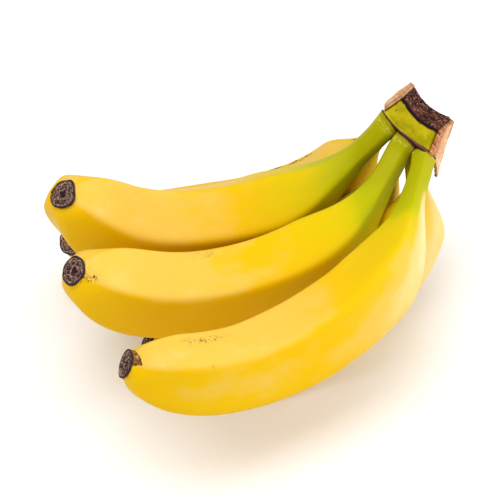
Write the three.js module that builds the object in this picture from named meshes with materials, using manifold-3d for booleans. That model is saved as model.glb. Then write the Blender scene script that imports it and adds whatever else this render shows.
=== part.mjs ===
// A cut hand of six bananas lying on a table: three fingers in front and three behind them,
// all hanging from one crown. Millimetres, +Z up, and the table is the plane z = 0.
//
// The crown has a frame of its own. ACROSS runs along a row of fingers, UP runs towards the
// cut top, and FRONT points away from the back row. Each finger is one tube of changing girth,
// swept along a curve that leaves the crown straight down, turns onto its own heading and then
// bends in one plane. Its section is a five-sided fruit section with rounded ridges.

import * as THREE from 'three';
import { mergeVertices } from 'three/addons/utils/BufferGeometryUtils.js';
import Module from 'manifold-3d';

const wasm = await Module();
wasm.setup();

// ---- Driving dimensions ------------------------------------------------------------------

// Middle of the front row's scar line on the crown, and how the crown is turned, in degrees.
const CROWN_SPOT = [74.6, 59.3, 84.6];
const CROWN_HEADING = 15;
const CROWN_RISE = 50;
const CROWN_ROLL = 50;

const FINGER_PITCH = 11.3;      // from neck to neck along a row
const ROW_GAP = 12.5;           // from the front row's necks to the back row's
const ROW_DROP = 6;             // the back row leaves the crown this much lower
const SEAM = 0.3;               // gap between pieces that touch
const TOUCH_GAP = 0.7;          // gap kept where one finger presses into another

const TIP_RADIUS = 6.2;         // of a finger's last ring, under the withered blossom
const FLARE_LENGTH = 13;        // over this length the neck widens towards the crown

// Where the neck ends and the tip starts, as parts of the length, and how much wider the neck
// is where it grows from the crown.
const ROWS = [
  { neckEnd: 0.10, tipStart: 0.79, flare: 0.9 },
  { neckEnd: 0.07, tipStart: 0.72, flare: 0.2 },
];

// One entry a finger. Angles are in degrees. heading and rise aim the shoulder, and lean tips
// the plane of the bend. bend is the turning rate in degrees over a whole length at each of
// BEND_STATIONS, and curl is how far the tip turns sideways out of that plane. ridge is where
// one of the five ridges lies, from the inside of the bend, and twist is how far the ridges
// wind round by the tip. girth is the radius of the belly and neck the radius at the crown,
// turn is the length over which the neck swings onto its heading, and full is the part of the
// length at which the belly is full.
const BEND_STATIONS = [0, 0.10, 0.30, 0.55, 0.80, 1];
const CURL_START = 0.5;
const FINGERS = [
  { name: 'front_1', row: 0, place: -1.03, heading: -173, rise: -51.5, lean: -19, length: 203.5,
    bend: [79, 187, 76, 147, 67], curl: -3, ridge: 294.6, twist: 5,
    girth: 19.3, neck: 5.8, turn: 14, full: 0.40 },
  { name: 'front_2', row: 0, place: 0.05, heading: -122, rise: -34, lean: 42.3, length: 212.6,
    bend: [71, 135, 63, 94, 47], curl: -24, ridge: 276, twist: -18,
    girth: 18.65, neck: 6.1, turn: 15, full: 0.40 },
  { name: 'front_3', row: 0, place: 0.97, heading: -104.1, rise: -14, lean: 83.1, length: 217.8,
    bend: [-13, 133, 72, 67, 150], curl: -26.2, ridge: 268, twist: -25.6,
    girth: 18.8, neck: 5.4, turn: 5, full: 0.42 },
  { name: 'back_1', row: 1, place: -1.09, heading: 143.7, rise: -63.9, lean: -50.3, length: 201,
    bend: [89, 201, 77, 129, 93], curl: -23, ridge: 293.3, twist: -21,
    girth: 16.6, neck: 5.2, turn: 9.4, full: 0.23 },
  { name: 'back_2', row: 1, place: 0.2, heading: -140, rise: -65, lean: 10, length: 201,
    bend: [95, 180, 100, 120, 80], curl: 0, ridge: 280, twist: 0,
    girth: 16.8, neck: 5.1, turn: 14, full: 0.26 },
  { name: 'back_3', row: 1, place: 0.86, heading: -83, rise: -40.2, lean: 83.7, length: 193.2,
    bend: [150, 153, 49, 165, 94], curl: -12.4, ridge: 270.5, twist: -6,
    girth: 15.8, neck: 5, turn: 9.8, full: 0.21 },
];

const RIDGES = 5;
const RIDGE_SHARPNESS = 9;      // higher is nearer to a sharp pentagon
const RIDGE_LEVEL = 1.06;       // brings the mean girth of the section back to a circle's
const TIP_POWER = 2.8;          // the tip narrows slowly at first
const TIP_BLUNTNESS = 0.6;      // 1 is a plain cone end, 0.5 closes as an ellipse does
const TIP_ROUNDING = 6;         // power with which the ridges fade towards the tip
const SIDES = 20;
const RINGS = 36;
const RING_CROWDING = 0.45;     // 0 spaces the rings evenly, 1 crowds them at both ends
const STEPS = 240;              // steps of the curve that the rings are taken from
const GIVE_WAY_PASSES = 7;      // how often a pressed spot is measured and moved again

// The withered blossom at a finger's end: a short rough stub with a dished face.
const STUB_LENGTH = 3.2;
const STUB_RADIUS = 6.4;
const STUB_SIDES = 15;
const STUB_RAGGED = { fives: 0.05, threes: 0.03 };    // waves round its rim
// Rings of the stub, as parts of its length and of its radius, from the fruit to the dish.
const STUB_PROFILE = [[0.07, 0.90], [0.22, 1.0], [0.62, 1.05], [1, 0.97], [1, 0.72], [0.70, 0.40]];
const STUB_NAVEL = 0.88;        // part of the length that the middle of the dish stands at

// The crown's corners, ACROSS at the foot and at the top, in front and at the back.
const CROWN_FRONT = 6.3;
const CROWN_BACK = -18.8;
const FOOT_SLOPE = { left: 12, right: 20 };       // degrees, the foot falls towards the back
const FOOT_BOW = { left: 3.4, right: 1.5 };       // and rises by this much towards its ends
const FOOT_SINK = 0.7;          // its middle lies this far below the starts of the necks
const FOOT_MIDDLE = -4;
const FOOT_HALF_WIDTH = 17;
const FOOT_LEFT = { front: -19.8, back: -21.2 };
const FOOT_RIGHT = { front: 15.0, back: 21.6 };
const TOP_LEFT = { front: -17.4, back: -17.6 };
const TOP_RIGHT = { front: 10.8, back: 11.4 };
const TOP_LEVEL = { front: 12.8, back: 15.2 };    // above the middle of the front scar line
const TOP_DIP = { front: 1.6, back: 2.7 };        // the cut top sags round its middle
const TOP_MIDDLE = { front: -2.3, back: -4.2 };
const TOP_HALF_WIDTH = { front: 9.4, back: 11.5 };
const LOBE_DEPTH = 0.9;         // the foot swells over each neck
const TOP_SWELL = 0.9;          // the top swells in the middle
const CUT_THICKNESS = 1.1;      // dried layer over the cut top
const CUT_ROUGHNESS = 0.16;
const WOOD_THICKNESS = [2.6, 1.6];  // bare wood at the left and the right knife cut
const WOOD_BEVEL = [0.16, 0];   // its outside stops short of the foot by this part of its height
const WOOD_SPLINTER = [0, 0.22];    // its back corner hangs down by this part of its height
const SPLINTER_START = 0.3;     // part of the depth at which it begins to hang

// The block that stands for the table, and cuts the flat spots.
const TABLE_WIDTH = 600;
const TABLE_DEPTH = 20;

const COLOURS = {
  peel: 0xe8c31a,
  stub: 0x3a2a22,
  crown: 0x9aa51c,
  cut: 0x49313a,
  wood: 0xcf9a66,
};

// ---- Small helpers -----------------------------------------------------------------------

const radians = THREE.MathUtils.degToRad;
const clamp01 = (x) => Math.min(1, Math.max(0, x));
const lerp = THREE.MathUtils.lerp;
const smooth = (x) => clamp01(x) ** 2 * (3 - 2 * clamp01(x));

// A direction from its compass heading and its rise above the table, in degrees.
function aim(heading, rise) {
  const a = radians(heading);
  const e = radians(rise);
  return new THREE.Vector3(Math.cos(e) * Math.cos(a), Math.cos(e) * Math.sin(a), Math.sin(e));
}

// A direction part of the way round the arc from one direction to another.
function swing(from, to, part) {
  const turn = from.angleTo(to);
  if (turn < 1e-6) {
    return from.clone();
  }
  const a = Math.sin((1 - part) * turn) / Math.sin(turn);
  const b = Math.sin(part * turn) / Math.sin(turn);
  return from.clone().multiplyScalar(a).addScaledVector(to, b).normalize();
}

// The value at x of straight lines through stations and values.
function alongStations(x, stations, values) {
  let i = 0;
  while (i < stations.length - 2 && x > stations[i + 1]) {
    i += 1;
  }
  const part = (x - stations[i]) / (stations[i + 1] - stations[i]);
  return lerp(values[i], values[i + 1], clamp01(part));
}

// A closed body from rings of points, all with the same count and ordered anticlockwise as
// seen from the last ring. A fan closes each end at its middle point.
function loft(rings, firstMiddle, lastMiddle) {
  const count = rings[0].length;
  const points = rings.flat();
  const faces = [];
  for (let r = 0; r + 1 < rings.length; r += 1) {
    for (let s = 0; s < count; s += 1) {
      const a = r * count + s;
      const b = r * count + ((s + 1) % count);
      faces.push(a, b, b + count);
      faces.push(a, b + count, a + count);
    }
  }
  const first = points.length;
  const last = first + 1;
  const lastRing = (rings.length - 1) * count;
  points.push(firstMiddle, lastMiddle);
  for (let s = 0; s < count; s += 1) {
    const next = (s + 1) % count;
    faces.push(first, next, s);
    faces.push(last, lastRing + s, lastRing + next);
  }
  const geometry = new THREE.BufferGeometry().setFromPoints(points);
  geometry.setIndex(faces);
  geometry.computeVertexNormals();
  return geometry;
}

// A thin closed body between two grids of points with equal rows, outer over inner.
function slab(outer, inner) {
  const rows = outer.length;
  const columns = outer[0].length;
  const size = rows * columns;
  const points = [...outer.flat(), ...inner.flat()];
  const faces = [];
  for (let r = 0; r + 1 < rows; r += 1) {
    for (let c = 0; c + 1 < columns; c += 1) {
      const a = r * columns + c;
      faces.push(a, a + 1, a + columns + 1);
      faces.push(a, a + columns + 1, a + columns);
      faces.push(size + a, size + a + columns + 1, size + a + 1);
      faces.push(size + a, size + a + columns, size + a + columns + 1);
    }
  }
  const rim = [];
  for (let c = 0; c < columns - 1; c += 1) {
    rim.push(c);
  }
  for (let r = 0; r < rows - 1; r += 1) {
    rim.push(r * columns + columns - 1);
  }
  for (let c = columns - 1; c > 0; c -= 1) {
    rim.push((rows - 1) * columns + c);
  }
  for (let r = rows - 1; r > 0; r -= 1) {
    rim.push(r * columns);
  }
  rim.forEach((a, i) => {
    const b = rim[(i + 1) % rim.length];
    faces.push(a, size + a, size + b);
    faces.push(a, size + b, b);
  });
  const geometry = new THREE.BufferGeometry().setFromPoints(points);
  geometry.setIndex(faces);
  geometry.computeVertexNormals();
  return geometry;
}

function toSolid(geometry) {
  const bare = geometry.clone();
  bare.deleteAttribute('normal');
  bare.deleteAttribute('uv');
  const merged = mergeVertices(bare);
  return new wasm.Manifold(new wasm.Mesh({
    numProp: 3,
    vertProperties: merged.attributes.position.array,
    triVerts: new Uint32Array(merged.index.array),
  }));
}

function fromSolid(solid) {
  const mesh = solid.getMesh();
  const geometry = new THREE.BufferGeometry();
  geometry.setAttribute('position', new THREE.BufferAttribute(mesh.vertProperties, 3));
  geometry.setIndex(new THREE.BufferAttribute(mesh.triVerts, 1));
  geometry.computeVertexNormals();
  return geometry;
}

// ---- The crown's frame -------------------------------------------------------------------

const UP = aim(CROWN_HEADING, CROWN_RISE);
const LEVEL = aim(CROWN_HEADING - 90, 0);
const ACROSS = LEVEL.clone().applyAxisAngle(UP, radians(CROWN_ROLL));
const FRONT = ACROSS.clone().cross(UP);
const SPOT = new THREE.Vector3(...CROWN_SPOT);

// A point of the crown's frame, and the level of its sloping, bowed foot there.
const crownPoint = (across, up, front) => SPOT.clone()
  .addScaledVector(ACROSS, across)
  .addScaledVector(UP, up)
  .addScaledVector(FRONT, front);
function footLevel(across, front) {
  const fromMiddle = (across - FOOT_MIDDLE) / FOOT_HALF_WIDTH;
  const slope = lerp(FOOT_SLOPE.left, FOOT_SLOPE.right, 0.5 + 0.5 * fromMiddle);
  const bow = fromMiddle < 0 ? FOOT_BOW.left : FOOT_BOW.right;
  return (front - CROWN_FRONT) * Math.tan(radians(slope)) + bow * fromMiddle ** 2 - FOOT_SINK;
}

// ---- Fingers -----------------------------------------------------------------------------

// Distance from a finger's axis to its skin, at part t of its length and angle from the inside
// of the bend. The section is a smooth pentagon: each of five flats adds a term, and the power
// mean of the terms rounds the ridges between them. Neck and tip are rounder than the belly.
function girth(finger, t, angle) {
  const row = ROWS[finger.row];
  const swell = smooth((t - row.neckEnd) / (finger.full - row.neckEnd));
  const flare = row.flare * (1 - smooth(t * finger.length / FLARE_LENGTH));
  const body = lerp(finger.neck, finger.girth, swell) + flare;
  const x = clamp01((t - row.tipStart) / (1 - row.tipStart));
  const radius = TIP_RADIUS + (body - TIP_RADIUS) * (1 - x ** TIP_POWER) ** TIP_BLUNTNESS;
  let sum = 0;
  for (let k = 0; k < RIDGES; k += 1) {
    const flat = radians(finger.ridge + finger.twist * t + (k + 0.5) * 360 / RIDGES);
    sum += Math.max(0, Math.cos(angle - flat)) ** RIDGE_SHARPNESS;
  }
  const pentagon = sum ** (-1 / RIDGE_SHARPNESS) / RIDGE_LEVEL;
  return radius * lerp(pentagon, 1, x ** TIP_ROUNDING);
}

// Points, headings and section directions along a finger's axis, from the crown to the tip.
function axisOf(finger) {
  const shoulder = aim(finger.heading, finger.rise);
  const rising = aim(finger.heading, finger.rise + 90);
  const inside = rising.applyAxisAngle(shoulder, radians(finger.lean));
  const side = shoulder.clone().cross(inside);
  const rates = [0, ...finger.bend].map(radians);
  const down = UP.clone().negate();
  const front = finger.row === 0 ? 0 : -ROW_GAP;
  const drop = finger.row === 0 ? 0 : -ROW_DROP;
  const point = crownPoint(finger.place * FINGER_PITCH, drop, front);
  const step = 1 / STEPS;
  const axis = [];
  let turned = 0;
  for (let i = 0; i <= STEPS; i += 1) {
    const t = i * step;
    const aside = radians(finger.curl) * smooth((t - CURL_START) / (1 - CURL_START));
    const planar = shoulder.clone().multiplyScalar(Math.cos(turned))
      .addScaledVector(inside, Math.sin(turned)).multiplyScalar(Math.cos(aside))
      .addScaledVector(side, Math.sin(aside));
    const ahead = swing(down, planar, smooth(t * finger.length / finger.turn));
    const across = side.clone().addScaledVector(ahead, -side.dot(ahead)).normalize();
    const inward = across.clone().cross(ahead);
    axis.push({ t, point: point.clone(), ahead, inward, across });
    point.addScaledVector(ahead, finger.length * step);
    turned += alongStations(t + step / 2, BEND_STATIONS, rates) * step;
  }
  return axis;
}

// How far a point is outside a finger's skin, judged at the nearest step of its axis.
function clearance(finger, axis, point) {
  let near = axis[0];
  let best = Infinity;
  for (const place of axis) {
    const reach = place.point.distanceToSquared(point);
    if (reach < best) {
      best = reach;
      near = place;
    }
  }
  const offset = point.clone().sub(near.point);
  const angle = Math.atan2(offset.dot(near.across), offset.dot(near.inward));
  return offset.length() - girth(finger, near.t, angle);
}

// The skin of a finger as rings, closer together at both ends. Where it would press into a
// finger that is already there, the skin gives way until the gap is kept.
function fingerRings(finger, axis, others) {
  const base = axis[0].point.clone().sub(SPOT);
  const foot = footLevel(base.dot(ACROSS), base.dot(FRONT));
  const buried = Math.max(0, base.dot(UP) - foot) / finger.length;
  const rings = [];
  for (let r = 0; r <= RINGS; r += 1) {
    const s = r / RINGS;
    const crowded = s - RING_CROWDING * Math.sin(2 * Math.PI * s) / (2 * Math.PI);
    const t = lerp(buried, 1, crowded);
    const place = axis[Math.round(t * STEPS)];
    const ring = [];
    for (let k = 0; k < SIDES; k += 1) {
      const angle = radians(finger.ridge + finger.twist * t) + 2 * Math.PI * k / SIDES;
      const outward = place.inward.clone().multiplyScalar(Math.cos(angle))
        .addScaledVector(place.across, Math.sin(angle));
      let reach = girth(finger, place.t, angle);
      const skin = place.point.clone().addScaledVector(outward, reach);
      for (const other of others) {
        for (let pass = 0; pass < GIVE_WAY_PASSES; pass += 1) {
          const gap = clearance(other.finger, other.axis, skin);
          if (gap < TOUCH_GAP) {
            reach -= TOUCH_GAP - gap;
            skin.copy(place.point).addScaledVector(outward, reach);
          }
        }
      }
      ring.push(skin);
    }
    rings.push(ring);
  }
  // The neck starts on the crown's sloping foot.
  rings[0].forEach((skin) => {
    const offset = skin.clone().sub(SPOT);
    const lift = footLevel(offset.dot(ACROSS), offset.dot(FRONT)) - SEAM - offset.dot(UP);
    skin.addScaledVector(UP, lift);
  });
  return rings;
}

function middleOf(ring) {
  const middle = new THREE.Vector3();
  ring.forEach((point) => middle.add(point));
  return middle.divideScalar(ring.length);
}

// The part of a solid above the table, which leaves a flat spot where the fruit lies.
function onTable(geometry) {
  const table = new THREE.BoxGeometry(TABLE_WIDTH, TABLE_WIDTH, TABLE_DEPTH);
  table.translate(0, 0, -TABLE_DEPTH / 2);
  return fromSolid(toSolid(geometry).subtract(toSolid(table)));
}

// The withered blossom end: rings along the last heading, then a dished face with a navel.
function blossomEnd(axis) {
  const end = axis[STEPS];
  const rings = STUB_PROFILE.map(([along, width], level) => {
    const ring = [];
    for (let k = 0; k < STUB_SIDES; k += 1) {
      const angle = 2 * Math.PI * k / STUB_SIDES;
      const ragged = 1 + STUB_RAGGED.fives * Math.cos(5 * angle + level)
        + STUB_RAGGED.threes * Math.sin(3 * angle - level);
      const reach = STUB_RADIUS * width * ragged;
      ring.push(end.point.clone()
        .addScaledVector(end.ahead, along * STUB_LENGTH)
        .addScaledVector(end.inward, reach * Math.cos(angle))
        .addScaledVector(end.across, reach * Math.sin(angle)));
    }
    return ring;
  });
  const navel = end.point.clone().addScaledVector(end.ahead, STUB_NAVEL * STUB_LENGTH);
  return loft(rings, middleOf(rings[0]), navel);
}

// ---- Crown -------------------------------------------------------------------------------

// A point of the crown: side runs 0 to 1 from left to right, depth 0 to 1 from front to back
// and height 0 to 1 from the foot to the cut top. The front and the back swell over the necks.
// The insets draw the left and the right end in, and lowered takes a layer off the top.
function crownSkin(side, depth, height, insets, lowered) {
  const left = lerp(lerp(FOOT_LEFT.front, FOOT_LEFT.back, depth),
    lerp(TOP_LEFT.front, TOP_LEFT.back, depth), height) + insets[0];
  const right = lerp(lerp(FOOT_RIGHT.front, FOOT_RIGHT.back, depth),
    lerp(TOP_RIGHT.front, TOP_RIGHT.back, depth), height) - insets[1];
  const lobes = 0.5 + 0.5 * Math.cos(2 * Math.PI * (3 * side - 0.5));
  const swell = lerp(LOBE_DEPTH * lobes, TOP_SWELL * Math.sin(Math.PI * side), height);
  const front = lerp(CROWN_FRONT + swell, CROWN_BACK - swell, depth) - lerp(1, -1, depth) * TOP_SWELL;
  const across = lerp(left, right, side);
  const middle = lerp(TOP_MIDDLE.front, TOP_MIDDLE.back, depth);
  const fromMiddle = (across - middle) / lerp(TOP_HALF_WIDTH.front, TOP_HALF_WIDTH.back, depth);
  const level = lerp(TOP_LEVEL.front, TOP_LEVEL.back, depth);
  const dip = lerp(TOP_DIP.front, TOP_DIP.back, depth) * Math.max(0, 1 - fromMiddle ** 2);
  const top = level - dip - lowered;
  return [across, lerp(footLevel(across, front), top, height), front];
}

const CROWN_COLUMNS = 12;
const CROWN_ROWS = 8;

// A grid over the crown at one height, moved by a bump that depends on the place.
function crownGrid(height, insets, lowered, bump) {
  const rows = [];
  for (let r = 0; r <= CROWN_ROWS; r += 1) {
    const row = [];
    for (let c = 0; c <= CROWN_COLUMNS; c += 1) {
      const place = crownSkin(c / CROWN_COLUMNS, r / CROWN_ROWS, height, insets, lowered);
      const [across, up, front] = place;
      row.push(crownPoint(across, up + bump(across, front), front));
    }
    rows.push(row);
  }
  return rows;
}

const flat = () => 0;
const rough = (across, front) => CUT_ROUGHNESS
  * (Math.sin(1.9 * across + 0.7 * front) + Math.sin(1.3 * front - across));

const BETWEEN_WOOD = WOOD_THICKNESS.map((thickness) => thickness + SEAM);

function crownBlock() {
  const top = crownGrid(1, BETWEEN_WOOD, CUT_THICKNESS + SEAM, flat);
  return slab(top, crownGrid(0, BETWEEN_WOOD, 0, flat));
}

// The dried cut top: a rough sheet that follows the sagging top of the crown.
function cutTop() {
  const under = crownGrid(1, BETWEEN_WOOD, CUT_THICKNESS, flat);
  return slab(crownGrid(1, BETWEEN_WOOD, 0, rough), under);
}

// Bare wood at a knife cut on one end of the crown: side is 0 on the left and 1 on the right.
function woodEnd(side) {
  const inward = side === 0 ? 1 : -1;
  const grid = (inset, bevel) => {
    const rows = [];
    for (let r = 0; r <= CROWN_ROWS; r += 1) {
      const depth = side === 0 ? 1 - r / CROWN_ROWS : r / CROWN_ROWS;
      const behind = clamp01((depth - SPLINTER_START) / (1 - SPLINTER_START));
      const hang = WOOD_SPLINTER[side] * behind ** 2;
      const row = [];
      for (const part of [0, 0.5, 1]) {
        const height = lerp(bevel - hang, 1, part);
        const [across, up, front] = crownSkin(side, depth, height, [0, 0], 0);
        row.push(crownPoint(across + inward * inset, up, front));
      }
      rows.push(row);
    }
    return rows;
  };
  return slab(grid(WOOD_THICKNESS[side], 0), grid(0, WOOD_BEVEL[side]));
}

// ---- Assembly ----------------------------------------------------------------------------

function addPiece(group, name, geometry, colour, roughness) {
  const material = new THREE.MeshStandardMaterial({ color: colour, roughness, metalness: 0 });
  const mesh = new THREE.Mesh(geometry, material);
  mesh.name = name;
  group.add(mesh);
}

const bunch = new THREE.Group();
addPiece(bunch, 'crown', crownBlock(), COLOURS.crown, 0.6);
addPiece(bunch, 'crown_cut_top', cutTop(), COLOURS.cut, 0.95);
addPiece(bunch, 'crown_wood_left', woodEnd(0), COLOURS.wood, 0.9);
addPiece(bunch, 'crown_wood_right', woodEnd(1), COLOURS.wood, 0.9);

const placed = [];
for (const finger of FINGERS) {
  const axis = axisOf(finger);
  const rings = fingerRings(finger, axis, placed);
  const whole = loft(rings, middleOf(rings[0]), middleOf(rings[RINGS]));
  const fruit = finger.row === 1 ? onTable(whole) : whole;
  addPiece(bunch, `banana_${finger.name}`, fruit, COLOURS.peel, 0.5);
  addPiece(bunch, `blossom_end_${finger.name}`, blossomEnd(axis), COLOURS.stub, 0.95);
  placed.push({ finger, axis });
}

export default bunch;
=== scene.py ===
# %% [markdown]
# # A cut hand of bananas
#
# Six bananas hang from one crown: three in front, three behind and under them. The packed
# model gives their places. This file lays a finer skin over each solid and gives every
# surface its finish: peel that is still green at the neck, dark withered blossom ends, and a
# crown with a dried cut and two slips of bare wood.
#
# The first step loads the packed model as a fixed frame. It could be modelled again from
# nothing, but then the looks and the solids would drift apart.

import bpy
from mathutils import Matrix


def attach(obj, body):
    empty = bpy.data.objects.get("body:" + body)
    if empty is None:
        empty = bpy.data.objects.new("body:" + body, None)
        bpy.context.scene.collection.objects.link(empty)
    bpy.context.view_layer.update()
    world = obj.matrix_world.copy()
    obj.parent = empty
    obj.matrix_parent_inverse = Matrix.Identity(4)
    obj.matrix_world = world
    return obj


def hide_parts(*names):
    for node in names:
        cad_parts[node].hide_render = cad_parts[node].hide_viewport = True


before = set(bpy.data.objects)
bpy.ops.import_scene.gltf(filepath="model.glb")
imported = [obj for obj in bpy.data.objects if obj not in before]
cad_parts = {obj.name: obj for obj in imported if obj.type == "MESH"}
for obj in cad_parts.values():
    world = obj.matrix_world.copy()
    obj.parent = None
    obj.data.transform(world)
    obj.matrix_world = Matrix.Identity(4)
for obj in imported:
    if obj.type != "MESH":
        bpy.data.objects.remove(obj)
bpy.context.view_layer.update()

# %% [markdown]
# ## Measures and directions
#
# Shapes are worked out in millimetres, as a grower would give them, and turned into metres
# only when a mesh is made. A direction is easiest to say as a compass heading and a rise above
# the table. Easing between two values comes back in every shape here, so it gets one helper.

# %% Small helpers
from functools import cached_property
from types import SimpleNamespace
import bpy
import numpy as np
from mathutils import Vector

MM = 0.001


def mix(a, b, part):
    """a where part is 0 and b where part is 1, in a straight line between."""
    return a + (b - a) * part


def ease(x):
    """0 below 0, 1 above 1, and x squared times (3 minus 2x) between."""
    x = np.clip(x, 0, 1)
    return x * x * (3 - 2 * x)


def bump_at(x, middle, width):
    """A hill of height 1: e to the power of minus the squared distance over the squared width."""
    return np.exp(-((x - middle) / width) ** 2)


def off_from(degrees, middle):
    """Degrees from a middle, the short way round, from -180 to 180."""
    return (degrees - middle + 180) % 360 - 180


def aim(heading, rise):
    """A unit direction: cos(rise) along the heading, and sin(rise) upwards."""
    a, e = np.radians(heading), np.radians(rise)
    return np.array([np.cos(e) * np.cos(a), np.cos(e) * np.sin(a), np.sin(e)])


def turn(vector, about, degrees):
    """Turns a vector: v cos q, plus (axis x v) sin q, plus axis (axis . v)(1 - cos q)."""
    q = np.radians(degrees)
    along = about * (vector @ about) * (1 - np.cos(q))
    return vector * np.cos(q) + np.cross(about, vector) * np.sin(q) + along


print("aimed north and half up:", np.round(aim(90, 30), 3))

# %% [markdown]
# ## Roughness that comes out the same each time
#
# Fruit is never quite regular. Random numbers would change the part on every run, so the
# unevenness comes from a lattice: each corner of a grid of cubes has a number that is worked
# out from its own coordinates, and the value between corners is eased.

# %% Lattice noise
def corner_number(corner, seed):
    """A number from 0 to 1 for each whole corner: mixed products of its coordinates."""
    mixed = corner[..., 0] * 73856093 ^ corner[..., 1] * 19349663
    mixed = mixed ^ corner[..., 2] * 83492791 ^ (seed + 1) * 2654435
    mixed = (mixed & 0x3FFFFFFF) * 1274126177
    return ((mixed >> 11) & 0xFFFF) / 65535


def wander(points, size, seed=0):
    """Smooth noise from -1 to 1: the eight corner numbers round a point, each weighted by how
    near it is along the three axes, with cubes of the given size."""
    scaled = points / size
    low = np.floor(scaled).astype(np.int64)
    part = ease(scaled - low)
    total = 0
    for corner in np.ndindex(2, 2, 2):
        weight = np.where(np.array(corner), part, 1 - part).prod(-1)
        total = total + weight * corner_number(low + np.array(corner), seed)
    return 2 * total - 1


def waves(points, *layers):
    """Noises added up: each layer is its height, its size and its seed."""
    return sum(height * wander(points, size, seed) for height, size, seed in layers)


def crinkle(points, size, seed=0):
    """Sharp crests between soft hollows: 1 minus twice the size of two noises added up."""
    return 1 - 2 * np.abs(waves(points, (1, size, seed), (0.5, size / 2, seed + 7)))


print("noise at three places:", np.round(wander(np.eye(3) * 5.5, 2.0), 3))

# %% [markdown]
# ## Meshes from grids
#
# Every piece here is a surface over two parameters, so its points form a grid. A tube joins
# the last column to the first and closes each end with a fan. A thin sheet is two grids, one
# over the other, joined round the rim. The signed volume says which way the faces point, so
# one test keeps all of them outwards.

# %% Mesh makers
def grid_quads(rows, columns, closed):
    """Four-cornered faces between neighbouring rows; closed joins the last column to the first."""
    place = np.arange(rows * columns).reshape(rows, columns)
    after = np.roll(place, -1, 1)
    quads = np.stack([place[:-1], after[:-1], after[1:], place[1:]], -1)
    return (quads if closed else quads[:, :-1]).reshape(-1, 4)


def outward(points, faces):
    """The faces, turned round if the volume, the sum of a . (b x c) / 6, comes out negative."""
    triangles = np.concatenate([faces[0][:, :3], faces[0][:, [0, 2, 3]], faces[1]])
    a, b, c = (points[triangles[:, k]] for k in range(3))
    volume = (a * np.cross(b, c)).sum() / 6
    return faces if volume > 0 else [face[:, ::-1] for face in faces]


def add_object(name, data):
    """A new object in the scene."""
    thing = bpy.data.objects.new(name, data)
    bpy.context.scene.collection.objects.link(thing)
    return thing


def make_piece(name, points, quads, triangles, marks):
    """A mesh object in metres from points in millimetres; marks are named values at points."""
    quads, triangles = outward(points - points.mean(0), [quads, triangles])
    mesh = bpy.data.meshes.new(name)
    mesh.from_pydata((points * MM).tolist(), [], quads.tolist() + triangles.tolist())
    mesh.polygons.foreach_set("use_smooth", np.ones(len(mesh.polygons), bool))
    for mark, values in marks.items():
        kind, field = ("FLOAT", "value") if values.ndim == 1 else ("FLOAT_VECTOR", "vector")
        layer = mesh.attributes.new(mark, kind, "POINT")
        layer.data.foreach_set(field, np.ascontiguousarray(values, np.float32).ravel())
    mesh.validate()
    return add_object(name, mesh)


def tube(name, rings, marks):
    """A closed tube: rings of points, then the middle of the first and of the last ring."""
    rows, columns = rings.shape[:2]
    first = np.arange(columns)
    last = first + (rows - 1) * columns
    start = np.stack([np.full(columns, rows * columns), np.roll(first, -1), first], -1)
    end = np.stack([np.full(columns, rows * columns + 1), last, np.roll(last, -1)], -1)

    def with_ends(values):
        """The values as one list, then their means over the first and over the last ring."""
        ends = [values[0].mean(0, keepdims=True), values[-1].mean(0, keepdims=True)]
        return np.concatenate([values.reshape(rows * columns, *values.shape[2:]), *ends])

    full = {mark: with_ends(values) for mark, values in marks.items()}
    return make_piece(name, with_ends(rings), grid_quads(rows, columns, True),
                      np.concatenate([start, end]), full)


def sheet_between(name, outer, inner, marks):
    """A thin closed body: two grids of points with the same rows, joined round their rims."""
    rows, columns = outer.shape[:2]
    size = rows * columns
    over = grid_quads(rows, columns, False)
    under = over[:, ::-1] + size
    place = np.arange(size).reshape(rows, columns)
    rim = np.concatenate([place[0, :-1], place[:-1, -1], place[-1, :0:-1], place[:0:-1, 0]])
    after = np.roll(rim, -1)
    wall = np.stack([rim, rim + size, after + size, after], -1)
    points = np.concatenate([outer.reshape(-1, 3), inner.reshape(-1, 3)])
    full = {mark: np.concatenate([v.reshape(size, *v.shape[2:])] * 2) for mark, v in marks.items()}
    full["under"] = np.repeat([0.0, 1.0], size)
    none = np.zeros((0, 3), int)
    return make_piece(name, points, np.concatenate([over, under, wall]), none, full)


print("faces of a 3 by 4 grid, open and closed:",
      [len(grid_quads(3, 4, closed)) for closed in (False, True)])

# %% [markdown]
# ## The crown's own frame
#
# The crown is cut at a slant and leans over, so its measures are only plain in a frame of its
# own: ACROSS runs along a row of necks, UP runs towards the cut, and FRONT points away from
# the back row. The foot, where the necks grow out, slopes to the back and rises at both ends.

# %% Crown frame
CROWN_SPOT = np.array([74.6, 59.3, 84.6])
UP = aim(15, 50)
ACROSS = turn(aim(-75, 0), UP, 50)
FRONT = np.cross(ACROSS, UP)
SEAM = 0.3

CROWN_FRONT, CROWN_BACK = 6.3, -18.8
# The foot's slope in degrees at its left and right ends, and how far it bows up at each end.
FOOT_SLOPES, FOOT_BOWS, FOOT_SINK = (12, 20), (3.4, 1.5), 0.7
FOOT_MIDDLE, FOOT_HALF_WIDTH = -4, 17


def crown_point(across, up, front):
    """The front scar's middle, plus each measure times its direction."""
    return (CROWN_SPOT + np.multiply.outer(across, ACROSS) + np.multiply.outer(up, UP)
            + np.multiply.outer(front, FRONT))


def foot_level(across, front):
    """Distance behind the front face times the slope, plus bows that grow with the square."""
    off = (across - FOOT_MIDDLE) / FOOT_HALF_WIDTH
    slope = np.radians(mix(*FOOT_SLOPES, 0.5 + 0.5 * off))
    bow = np.where(off < 0, *FOOT_BOWS)
    return (front - CROWN_FRONT) * np.tan(slope) + bow * off**2 - FOOT_SINK


print("crown frame:", np.round(ACROSS, 3), np.round(UP, 3), np.round(FRONT, 3))

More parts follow.
